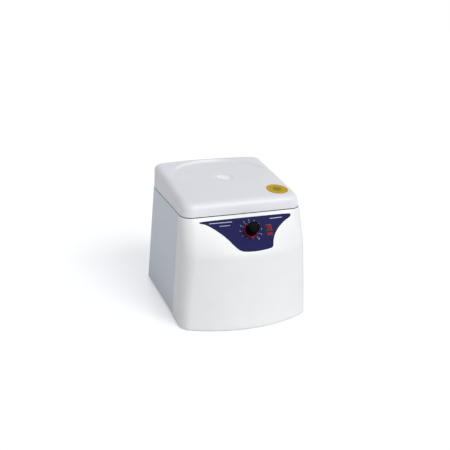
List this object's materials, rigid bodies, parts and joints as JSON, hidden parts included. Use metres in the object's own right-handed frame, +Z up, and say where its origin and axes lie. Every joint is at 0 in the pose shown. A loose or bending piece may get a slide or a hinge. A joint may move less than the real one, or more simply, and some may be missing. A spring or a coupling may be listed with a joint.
{
  "type": "microplate centrifuge",
  "caption": "Compact bench centrifuge for microplates with a sloping hinged lid, steel bowl, swing-out carriers, bulged front and a single speed knob",
  "frame": {"origin": "middle of the bounding box in plan, at the plane of the four rubber feet on the bench", "axes": "+Z up, front with the control panel faces -Y, +X to the right as seen from the front"},
  "size_m": [0.309, 0.3848, 0.3159],
  "materials": {
    "housing_plastic": "light textured moulded plastic",
    "cover_plastic": "light smooth moulded plastic",
    "lid_plastic": "light fine textured moulded plastic",
    "overlay_film": "printed polyester film",
    "bowl_steel": "spun stainless steel",
    "seal_rubber": "moulded rubber",
    "feet_rubber": "moulded rubber",
    "chassis_metal": "grey coated sheet steel",
    "screw_steel": "turned steel",
    "rotor_alloy": "machined aluminium",
    "carrier_alloy": "anodised aluminium sheet",
    "winding_copper": "enamelled copper windings and iron",
    "circuit_board": "green circuit board",
    "black_plastic": "black moulded plastic",
    "knob_plastic": "satin black moulded plastic",
    "red_plastic": "red moulded plastic",
    "lens_red": "dark red lens",
    "port_clear": "milky clear polycarbonate",
    "label_yellow": "printed vinyl"
  },
  "bodies": {
    "base": {"main_housing": "housing_plastic", "front_cover": "cover_plastic", "control_overlay": "overlay_film", "top_deck": "cover_plastic", "bowl": "bowl_steel", "bowl_gasket": "seal_rubber", "base_plate": "chassis_metal", "rubber_feet": "feet_rubber", "motor_dampers": "seal_rubber", "motor_plate": "chassis_metal", "motor_stator": "winding_copper", "motor_bearings": "screw_steel", "rear_panel": "chassis_metal", "mains_inlet": "black_plastic", "fuse_holder": "black_plastic", "switch_frame": "black_plastic", "control_board": "circuit_board", "board_spacers": "screw_steel", "transformer": "winding_copper", "speed_control": "black_plastic", "indicator_lens": "lens_red", "button_sleeve": "black_plastic", "lock_housing": "chassis_metal", "lock_solenoid": "black_plastic", "hinge_brackets": "chassis_metal", "hinge_pins": "screw_steel", "rear_screws": "screw_steel", "base_screws": "screw_steel"},
    "lid": {"lid_shell": "lid_plastic", "lid_liner": "lid_plastic", "lid_hinge_arms": "chassis_metal", "striker_hook": "chassis_metal", "sight_port": "port_clear", "label_disc": "label_yellow", "lid_screws": "screw_steel"},
    "rotor": {"motor_shaft": "screw_steel", "motor_armature": "winding_copper", "rotor_yoke": "rotor_alloy", "trunnion_pins": "screw_steel", "rotor_nut": "rotor_alloy"},
    "carrier_front": {"plate_carrier_front": "carrier_alloy", "carrier_mat_front": "seal_rubber"},
    "carrier_rear": {"plate_carrier_rear": "carrier_alloy", "carrier_mat_rear": "seal_rubber"},
    "knob": {"knob_body": "knob_plastic", "knob_pointer_ring": "red_plastic", "knob_spindle": "screw_steel"},
    "rocker": {"mains_rocker": "black_plastic"},
    "button": {"release_button": "red_plastic"},
    "bolt": {"lock_bolt": "screw_steel"}
  },
  "joints": [
    {"name": "lid_hinge", "type": "hinge", "parent": "base", "child": "lid", "pos_m": [0, 0.16583, 0.2585], "axis": [-1, 0, 0], "range_deg": [0, 80]},
    {"name": "rotor_spin", "type": "hinge", "parent": "base", "child": "rotor", "pos_m": [0, 0.01633, 0.192], "axis": [0, 0, 1], "continuous": true},
    {"name": "carrier_front_swing", "type": "hinge", "parent": "rotor", "child": "carrier_front", "pos_m": [0, -0.03767, 0.192], "axis": [-1, 0, 0], "range_deg": [0, 90]},
    {"name": "carrier_rear_swing", "type": "hinge", "parent": "rotor", "child": "carrier_rear", "pos_m": [0, 0.07033, 0.192], "axis": [1, 0, 0], "range_deg": [0, 90]},
    {"name": "knob_turn", "type": "hinge", "parent": "base", "child": "knob", "pos_m": [0.0075, -0.15585, 0.2235], "axis": [-0.0089, 0.7946, -0.607], "range_deg": [0, 300]},
    {"name": "release_button_press", "type": "slide", "parent": "base", "child": "button", "axis": [-0.0595, 0.8155, -0.5756], "range_m": [0, 0.002], "stiffness_N_per_m": 300},
    {"name": "lock_bolt_slide", "type": "slide", "parent": "base", "child": "bolt", "axis": [0, 1, 0], "range_m": [0, 0.009], "stiffness_N_per_m": 100},
    {"name": "power_rocker", "type": "hinge", "parent": "base", "child": "rocker", "pos_m": [0.034, 0.17886, 0.05887], "axis": [1, 0, 0], "range_deg": [0, 20]}
  ]
}
